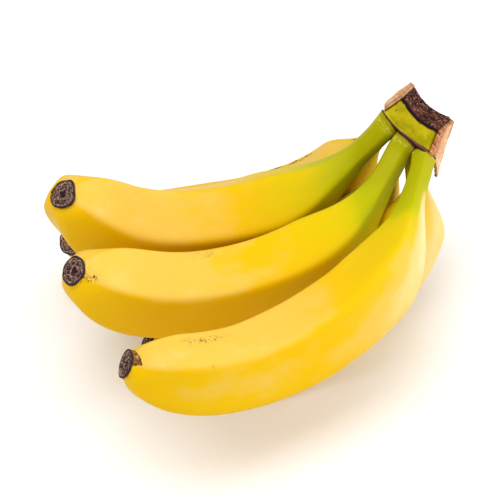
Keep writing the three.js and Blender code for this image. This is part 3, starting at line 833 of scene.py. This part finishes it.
class Value:
    """A node's output, used as a number is. a | b is the larger of two, a & b the smaller,
    and a.line(b, c) is a times b, plus c."""

    __add__, __sub__, __mul__ = map(operator, ("ADD", "SUBTRACT", "MULTIPLY"))
    __truediv__, __or__, __and__ = map(operator, ("DIVIDE", "MAXIMUM", "MINIMUM"))
    __abs__, line = map(operator, ("ABSOLUTE", "MULTIPLY_ADD"))

    def __init__(self, nodes, socket):
        self.nodes, self.socket = nodes, socket

    def __rsub__(self, number):
        """A number minus the value."""
        return self.nodes.sums("SUBTRACT", number, self)

    def sway(self, width):
        """0 to 1 turned into minus to plus half the width."""
        return self.line(width, -width / 2)

    def between(self, low, high):
        """0 at low, 1 at high, held outside and eased between."""
        sockets = {"Value": self, "From Min": low, "From Max": high}
        return self.nodes.step("MapRange", 0, sockets, interpolation_type="SMOOTHSTEP")


class Nodes:
    """A tree of nodes that grows step by step."""

    def __init__(self, tree):
        self.tree = tree

    def wire(self, value, socket):
        """Feeds a socket from a Value, or sets it to a number."""
        if isinstance(value, Value):
            self.tree.links.new(value.socket, socket)
        else:
            socket.default_value = value

    def node(self, kind, sockets=(), **options):
        """Adds a node, with a value for each socket."""
        node = self.tree.nodes.new("ShaderNode" + kind)
        for option, value in options.items():
            setattr(node, option, value)
        for socket, value in dict(sockets).items():
            self.wire(value, node.inputs[socket])
        return node

    def step(self, kind, output, sockets=(), **options):
        """What a new node puts out."""
        return Value(self, self.node(kind, sockets, **options).outputs[output])

    def sums(self, operation, *values):
        """One operation of arithmetic."""
        return self.step("Math", 0, enumerate(values), operation=operation)


print("peel yellow in linear light:", np.round(paint(250, 205, 45), 3))

# %% [markdown]
# ## Flecks, shared by every finish
#
# Specks on the peel, pits in the crown and pale crumbs on the blossom ends are the same thing
# at different sizes: small uneven dots, only in some cells of a random tiling. One node group
# makes the mask, and each finish picks the colour.

# %% Fleck group
# What bends the cells' edges: lumps to the metre, detail, and how far in metres. Then how far
# inside its radius, in cells, a fleck is full.
WOBBLE_SCALE, WOBBLE_DETAIL, WOBBLE, SOFT_EDGE = 2600.0, 2.0, (0.0004,) * 3, 0.08


def fleck_group():
    """Mask: 1 within an uneven small radius of a cell's middle, in the given share of cells."""
    group = bpy.data.node_groups.new("flecks", "ShaderNodeTree")
    for name, kind in (("Place", "Vector"), ("Per metre", "Float"), ("Share", "Float"),
                       ("Radius", "Float")):
        group.interface.new_socket(name, in_out="INPUT", socket_type="NodeSocket" + kind)
    group.interface.new_socket("Mask", in_out="OUTPUT", socket_type="NodeSocketFloat")
    nodes = Nodes(group)
    given = group.nodes.new("NodeGroupInput").outputs
    place, per_metre, share, radius = (Value(nodes, given[k]) for k in range(4))
    sockets = {"Vector": place, "Scale": WOBBLE_SCALE, "Detail": WOBBLE_DETAIL}
    wobble = nodes.step("TexNoise", "Color", sockets)
    moved = nodes.step("VectorMath", 0, {0: wobble, 1: WOBBLE}, operation="MULTIPLY")
    place = nodes.step("VectorMath", 0, {0: place, 1: moved}, operation="ADD")
    cells = nodes.node("TexVoronoi", {"Vector": place, "Scale": per_metre}).outputs
    picked = nodes.node("SeparateColor", {"Color": Value(nodes, cells["Color"])}).outputs
    chosen = nodes.sums("LESS_THAN", Value(nodes, picked["Red"]), share)
    inside = radius * Value(nodes, picked["Green"]) - Value(nodes, cells["Distance"])
    output = group.nodes.new("NodeGroupOutput")
    nodes.wire(inside.between(0.0, SOFT_EDGE) * chosen, output.inputs["Mask"])
    return group


FLECKS = fleck_group()
print("fleck group:", len(FLECKS.nodes), "nodes")

# %% [markdown]
# ## A finish and its coats
#
# Each finish starts as one Principled shader. Its base colour is laid on in coats, as paint is
# on a model, and a mask says where each coat covers. One wide ramp could hold all the colours,
# but then a scar could not lie over both green and yellow peel. Every coat's node has a name.

# %% Finish maker
class Finish(Nodes):
    """A material with one Principled shader, and its base colour so far."""

    def __init__(self, name):
        self.material = bpy.data.materials.new(name)
        self.material.use_nodes = True
        super().__init__(self.material.node_tree)
        self.tree.nodes.clear()
        shader = self.node("BsdfPrincipled")
        self.node("OutputMaterial", {"Surface": Value(self, shader.outputs[0])})
        self.shader = shader.inputs

    def read(self, mark, output="Fac"):
        """A value that the mesh carries at each point."""
        return self.step("Attribute", output, attribute_name=mark)

    @cached_property
    def place(self):
        """Where a point lies in the piece's own unrolled pattern."""
        return self.read("straight", "Vector")

    def noise(self, per_metre, detail=3.0, rough=0.5, stretch=None):
        """Noise from 0 to 1 with so many lumps to the metre, times a factor each way."""
        place = self.place
        if stretch:
            place = self.step("VectorMath", 0, {0: place, 1: stretch}, operation="MULTIPLY")
        sockets = {"Vector": place, "Scale": per_metre, "Detail": detail, "Roughness": rough}
        return self.step("TexNoise", "Fac", sockets)

    def flecks(self, per_metre, share, radius):
        """The fleck group's mask."""
        sockets = {"Place": self.place, "Per metre": per_metre, "Share": share, "Radius": radius}
        return self.step("Group", "Mask", sockets, node_tree=FLECKS)

    def ramp(self, value, *stops):
        """Colours at places from 0 to 1, in straight lines between."""
        node = self.node("ValToRGB", {"Fac": value})
        elements = node.color_ramp.elements
        while len(elements) < len(stops):
            elements.new(0.5)
        for element, (place, tint) in zip(elements, stops):
            element.position, element.color = place, paint(*tint)
        return Value(self, node.outputs["Color"])

    def coat(self, name, tint, part):
        """Lays a tint over the colour so far, where part is 1."""
        over = tint if isinstance(tint, Value) else paint(*tint)
        sockets = {0: part, 6: self.colour, 7: over}
        self.colour = self.step("Mix", 2, sockets, data_type="RGBA", label=name)

    def done(self, roughness, relief=None, strength=0, distance=0, **fixed):
        """Wires the colour, the roughness and a bump, and sets the fixed sockets."""
        self.wire(self.colour, self.shader["Base Color"])
        self.wire(roughness, self.shader["Roughness"])
        if relief:
            sockets = {"Height": relief, "Strength": strength, "Distance": distance}
            self.wire(self.step("Bump", 0, sockets), self.shader["Normal"])
        for socket, value in fixed.items():
            self.shader[socket.replace("_", " ")].default_value = value
        print(self.material.name, "has", len(self.tree.nodes), "nodes")
        return self.material


print("words for a finish:", [word for word in vars(Finish) if word[0] != "_"])

# %% [markdown]
# ## Ripening peel
#
# The colour runs from olive green at the crown through lime to a warm yellow, and never in a
# clean line: the change is streaked along the fruit. Over the yellow lies a waxy bloom with a
# painted sheen, pale where it is thin, then cream, then chalky, and strongest on the flats and
# flanks that face the light. Marks come on top: flecks and scars, a corky line where the neck
# leaves the crown with pale cracks below it, dark joins between the necks, rub marks with a
# painted contact shade where fingers touch, and a brown rim at the tip. A picture could be laid
# on instead, but nodes stay sharp at any distance and cost nothing to keep.

# %% Peel finish
def ripen(peel, grain):
    """Colour by ripeness, then three coats of wax and painted sheen, each where more of it lies.
    """
    drift = peel.noise(48.0, 4.0, stretch=(1, 1, 0.5))
    smear = peel.noise(110.0, 3.0, 0.55, (1, 1, 0.55))
    ripe = peel.read("ripe") + grain.sway(0.2) + drift.sway(0.6)
    peel.colour = peel.ramp(ripe * 0.5, (0.0, (162, 159, 1)), (0.10, (168, 167, 1)),
                            (0.20, (176, 172, 1)), (0.32, (198, 179, 1)), (0.44, (208, 180, 1)),
                            (0.66, (214, 177, 1)), (1.0, (221, 175, 1)))
    # The wax mark plus noise. The pale, cream and chalky coats over it are partly the peel's own
    # wax and partly a painted sheen where light falls on the top flat and the flanks.
    wax_sheen = peel.read("wax_and_sheen") + smear.sway(1.3) + drift.sway(0.8)
    peel.coat("pale wax", (220, 179, 68), wax_sheen.between(0.12, 0.82) * ripe.between(0.7, 1.1))
    peel.coat("cream_sheen", (228, 192, 114), wax_sheen.between(0.9, 1.8))
    peel.coat("chalky_sheen", (236, 204, 150), wax_sheen.between(1.8, 2.7))


def scar(peel, fine):
    """Flecks, speckles, soot, scars and the torn corner. Gives back where the scars are."""
    speckled, corner = peel.read("speckled"), peel.read("corner")
    peel.coat("flecks", (150, 104, 20), peel.flecks(230.0, 0.03, 0.30) * 0.2)
    many = peel.flecks(1300.0, speckled * 0.8, 0.8)
    peel.coat("speckles", (96, 50, 10), many * speckled.between(0.0, 0.8))
    peel.coat("soot", (146, 112, 6), fine.between(0.46, 0.60) * speckled * 0.4)
    mottled = peel.read("scarred") * peel.noise(620.0, 4.0, 0.65, (1, 1, 0.5)).line(3.4, -0.95)
    scarred = mottled.between(0.50, 0.60) | corner.between(0.35, 0.6)
    tints = peel.ramp(fine, (0.42, (60, 30, 20)), (0.54, (108, 68, 38)), (0.68, (184, 138, 84)))
    peel.coat("scars", tints, scarred * 0.9)
    outline = corner.between(0.15, 0.4) * corner.between(0.97, 0.75)
    peel.coat("torn edge", (66, 30, 18), outline * 0.9)
    return scarred


def age(peel):
    """Cracks, cork and joins by the distance from the crown, rub marks with a painted contact
    shade where the next finger is near, and the brown rim by the distance to the end. Gives back
    where the cracks are."""
    run, near = peel.read("run"), peel.read("near")
    crack = peel.noise(900.0, 2.0, stretch=(0.35, 0.35, 2.6)).between(0.572, 0.615)
    cracked = crack * (run.between(1.2, 1.8) * run.between(5.0, 3.4))
    peel.coat("cracks", (222, 212, 112), cracked * 0.85)
    depth = run + peel.noise(500.0).sway(0.8)
    peel.coat("olive", (120, 108, 8), depth.between(3.0, 0.6) * 0.45)
    corky = depth / peel.read("cork")
    peel.coat("cork", (96, 58, 44), corky.between(1.2, 0.8))
    peel.coat("bark", (58, 34, 30), corky.between(0.5, 0.2))
    peel.coat("joins", (62, 44, 14), near.between(0.70, 0.93) * run.between(15.0, 10.0) * 0.9)
    # Painted contact shade, with some rub marks: orange-brown within about 0.7 mm of the next
    # finger, from 20 mm out from the crown.
    peel.coat("rubbed_and_contact_shade", (130, 74, 4), near.between(0.64, 0.78) * run.between(20.0, 30.0) * 0.7)
    rim = peel.noise(420.0, 4.0).line(2.4, peel.read("to_end"))
    peel.coat("rim", (146, 98, 28), rim.between(2.2, 1.2) * 0.7)
    return cracked


def peel_finish():
    """The coats in turn, a roughness of 0.4 to 0.5, and a bump: fine pores, dents, the long
    grain and the cracks."""
    peel = Finish("ripening_peel")
    grain = peel.noise(260.0, 4.0, stretch=(1, 1, 0.12))
    ripen(peel, grain)
    fine = peel.noise(900.0, 3.0, stretch=(1, 1, 0.35))
    scarred, cracked = scar(peel, fine), age(peel)
    dents = peel.noise(130.0, 2.0, stretch=(1, 1, 0.4))
    relief = peel.noise(2200.0, 2.0) * 0.02 + dents * 0.4 + grain * 0.06 - cracked * 0.2
    return peel.done(scarred.line(0.2, fine.line(0.10, 0.42)), relief, 0.25, 0.0006,
                     Specular_IOR_Level=0.07, Subsurface_Weight=0.08,
                     Subsurface_Radius=(1.0, 0.55, 0.12), Subsurface_Scale=0.003)


PEEL = peel_finish()
for peel in peels:
    peel.data.materials.append(PEEL)

# %% [markdown]
# ## Withered blossom
#
# The buttons are not simply black: the dried petals' bases show as tan and grey crests over a
# purplish dark ground, with pale folds between, and the middle is darkest. The crests are
# already in the mesh, so their height picks the colour, paler where they stand up as a painted
# highlight, and a finer noise breaks it up. The pale folds and arcs are partly a painted
# highlight too.

# %% Blossom finish
def blossom_finish():
    """Dark ground, tan crests by height and noise, folds where a noise passes its middle,
    arcs where the bent radius passes 0.60 and 1.02, near-black dish and rim. The crests, folds
    and arcs are partly painted highlight."""
    button = Finish("withered_blossom")
    fine, coarse = button.noise(1500.0, 5.0, 0.65), button.noise(480.0)
    button.colour = button.ramp(fine, (0.34, (22, 13, 14)), (0.50, (60, 38, 32)),
                                (0.64, (106, 73, 59)))
    crest = fine.line(1.4, button.read("raised")).between(0.86, 1.22)
    # Paler where the mesh stands up: partly the dried tissue's tan, partly a painted highlight.
    button.coat("crests", (156, 112, 88), crest * 0.5)
    fold = abs(button.noise(330.0, 2.5) - 0.5)
    swirl = button.noise(260.0).line(0.5, button.read("width"))
    arcs = (abs(swirl - 0.60) & abs(swirl - 1.02)).between(0.035, 0.012)
    ply = (fold.between(0.020, 0.004) | arcs) * fine.between(0.40, 0.5)
    # Pale pink-grey lines: partly folds in the dried petals, partly a painted highlight.
    button.coat("folds_and_highlight", (186, 154, 138), ply * 0.85)
    button.coat("tan", (150, 120, 78), coarse.between(0.52, 0.62) * crest * 0.6)
    button.coat("crumbs", (184, 146, 118), button.flecks(1300.0, 0.16, 0.55) * 0.5)
    button.coat("dish", (16, 11, 14), swirl.between(0.56, 0.40) * 0.85)
    button.coat("rim", (44, 24, 30), (1.0 - button.read("face")) * 0.85)
    return button.done(fine.line(0.25, 0.62), fine, 0.8, 0.0005, Specular_IOR_Level=0.2)


BLOSSOM = blossom_finish()
for button in buttons:
    button.data.materials.append(BLOSSOM)

# %% [markdown]
# ## Green crown
#
# The crown's skin is the same green as the necks but duller and thicker, with dark pits and
# yellowish smears. At the foot a corky scar, nearly black, runs the whole way round, and a
# thin brown line follows the cut. The distance above the foot is carried by the mesh, so the
# scar follows the bowed edge, and it widens to the right.

# %% Crown finish
def crown_finish():
    """Olive green by slow noise, pits by flecks, the scar by the distance above the foot."""
    skin = Finish("green_crown")
    slow, fine = skin.noise(170.0), skin.noise(1300.0, 4.0, 0.6)
    skin.colour = skin.ramp(slow, (0.36, (158, 147, 2)), (0.50, (176, 164, 3)),
                            (0.64, (192, 175, 14)))
    skin.coat("smears", (150, 132, 8), fine.between(0.45, 0.7) * 0.25)
    pits = skin.flecks(620.0, 0.45, 0.42)
    skin.coat("pits", (78, 74, 12), pits * 0.6)
    ragged = skin.noise(620.0).sway(1.0)
    depth = (skin.read("level") + ragged) / skin.read("side").line(2.0, 0.45)
    skin.coat("cork", (104, 64, 50), depth.between(1.10, 0.85))
    skin.coat("bark", (58, 34, 30), depth.between(0.55, 0.25))
    top = skin.read("height") + ragged * 0.02
    skin.coat("cut line", (96, 66, 34), top.between(0.93, 0.99))
    return skin.done(fine.line(0.2, 0.42), slow.line(0.6, fine) - pits, 0.4, 0.0004,
                     Specular_IOR_Level=0.1)


crown.data.materials.append(crown_finish())

# %% [markdown]
# ## Dried cut and bare wood
#
# Both are torn plant fibre. The cut has dried to a purplish brown, darkest at its rim, with
# lighter tufts where the fibres stand up, partly a painted highlight. The slips are paler and
# still show grain: tan, streaked with orange. The right one is rough and browner on its front,
# and the left one has a thin dark line along the seam.

# %% Cut and wood finishes
def cut_finish():
    """Dark ground, tufts paler by the height that the mesh carries, partly a painted highlight,
    darker within 1 mm of the rim.
    """
    cut = Finish("dried_cut")
    fine, slow = cut.noise(1000.0, 4.0, 0.65, (1, 1, 0.6)), cut.noise(220.0, 2.0)
    cut.colour = cut.ramp(fine, (0.40, (22, 11, 12)), (0.50, (50, 29, 27)), (0.62, (104, 66, 50)))
    cut.coat("rust", (104, 50, 34), slow.between(0.48, 0.60) * 0.5)
    tuft = fine.line(2.0, cut.read("raised")).between(1.2, 1.6)
    # Paler where the fibres stand up: partly the fibres' own colour, partly a painted highlight.
    cut.coat("tufts_and_highlight", (176, 124, 102), tuft * 0.5)
    cut.coat("rim", (38, 22, 30), cut.read("rim").between(0.8, 0.3))
    return cut.done(0.85, fine, 0.9, 0.0006, Specular_IOR_Level=0.05)


def wood_finish():
    """Tan by long grain and orange streaks. torn is 0 on the left slip and 1 on the right."""
    wood = Finish("bare_wood")
    grain = wood.noise(1300.0, 4.0, 0.6, (1, 0.10, 1))
    part, torn, under, depth = map(wood.read, ("part", "torn", "under", "depth"))
    wood.colour = wood.ramp(grain, (0.36, (176, 126, 80)), (0.50, (212, 168, 122)),
                            (0.64, (234, 202, 160)))
    slow = wood.noise(210.0, 3.0, stretch=(1, 0.4, 1))
    wood.coat("orange", (204, 138, 92), slow.between(0.50, 0.66) * 0.5)
    rough = wood.ramp(wood.noise(1100.0, 4.0, 0.65), (0.40, (78, 40, 20)),
                      (0.50, (178, 104, 48)), (0.62, (222, 160, 98)))
    wood.coat("torn", rough, (under.between(0.05, 0.25) | depth.between(0.45, 0.3)) * torn)
    ridge = grain.line(0.5, under)
    seam = ridge.between(0.62, 0.70) * ridge.between(0.92, 0.84)
    wood.coat("seam", (130, 70, 56), seam * (0.7 - torn))
    corner = depth.between(0.78, 0.92) * part.between(0.6, 0.8)
    wood.coat("corner", (176, 104, 44), corner * 0.7)
    edge = part.between(0.08, 0.0) | part.between(0.95, 1.0)
    wood.coat("edges", (150, 92, 52), edge * 0.5)
    return wood.done(0.75, grain, 0.8, 0.0005)


cut.data.materials.append(cut_finish())
WOOD = wood_finish()
for slip in slips:
    slip.data.materials.append(WOOD)

# %% [markdown]
# ## Floor, light and camera
#
# The bananas lie on a plain pale floor in a bright white room, lit by two large soft panels:
# one overhead does most of the work, and a lower one at the right puts a pale sheen on the
# flanks. Small hard lamps would throw sharp shadows that fight with the fruit's own soft
# shading.

# %% Stage
FLOOR_HALF, FLOOR_WHITE, ROOM_LIGHT = 1.5, 0.92, 0.60
LIT_SPOT = Vector((0, 0, 0.05))
# Each panel: place and size in metres, and watts.
PANELS = {"overhead_panel": ((-0.25, -0.25, 1.10), 1.1, 11.4),
          "right_panel": ((1.06, 0.06, 0.36), 1.2, 10.8)}
CAMERA_AIM = Vector((-0.0024, -0.0297, 0.0870))
CAMERA_RISE, CAMERA_DISTANCE, SENSOR, LENS = np.radians(40), 0.85, 36, 137.2


def floor_plane():
    """A square of 3 metres at the level on which the fruit rests."""
    mesh = bpy.data.meshes.new("floor")
    corners = np.array([(-1, -1, 0), (1, -1, 0), (1, 1, 0), (-1, 1, 0)]) * FLOOR_HALF
    mesh.from_pydata(corners.tolist(), [], [(0, 1, 2, 3)])
    finish = Finish("pale_floor")
    finish.colour = (FLOOR_WHITE, FLOOR_WHITE, FLOOR_WHITE, 1)
    mesh.materials.append(finish.done(0.9, Specular_IOR_Level=0.1))
    floor = add_object("floor", mesh)


floor_plane()
for name, (place, size, watts) in PANELS.items():
    light = bpy.data.lights.new(name, "AREA")
    light.size, light.energy = size, watts
    lamp = add_object(name, light)
    lamp.location = place
    lamp.rotation_euler = (LIT_SPOT - Vector(place)).to_track_quat("-Z", "Y").to_euler()
    lamp.visible_camera = False

world = bpy.data.worlds.new("white_room")
bpy.context.scene.world = world
world.use_nodes = True
background = world.node_tree.nodes["Background"].inputs
background["Color"].default_value = (1, 1, 1, 1)
background["Strength"].default_value = ROOM_LIGHT
bpy.context.scene.view_settings.view_transform = "Standard"

camera = bpy.data.cameras.new("camera")
camera.sensor_width, camera.lens = SENSOR, LENS
camera.clip_start, camera.clip_end = 0.05, 20
viewer = add_object("camera", camera)
away = Vector((0, -np.cos(CAMERA_RISE), np.sin(CAMERA_RISE)))
viewer.location = CAMERA_AIM + CAMERA_DISTANCE * away
viewer.rotation_euler = (np.pi / 2 - CAMERA_RISE, 0, 0)
bpy.context.scene.camera = viewer
print("camera at", [round(value, 3) for value in viewer.location])

# %% [markdown]
# ## One body
#
# Every piece rides on the one body.

# %% Finish
for piece in [*peels, *buttons, crown, cut, *slips]:
    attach(piece, "root")
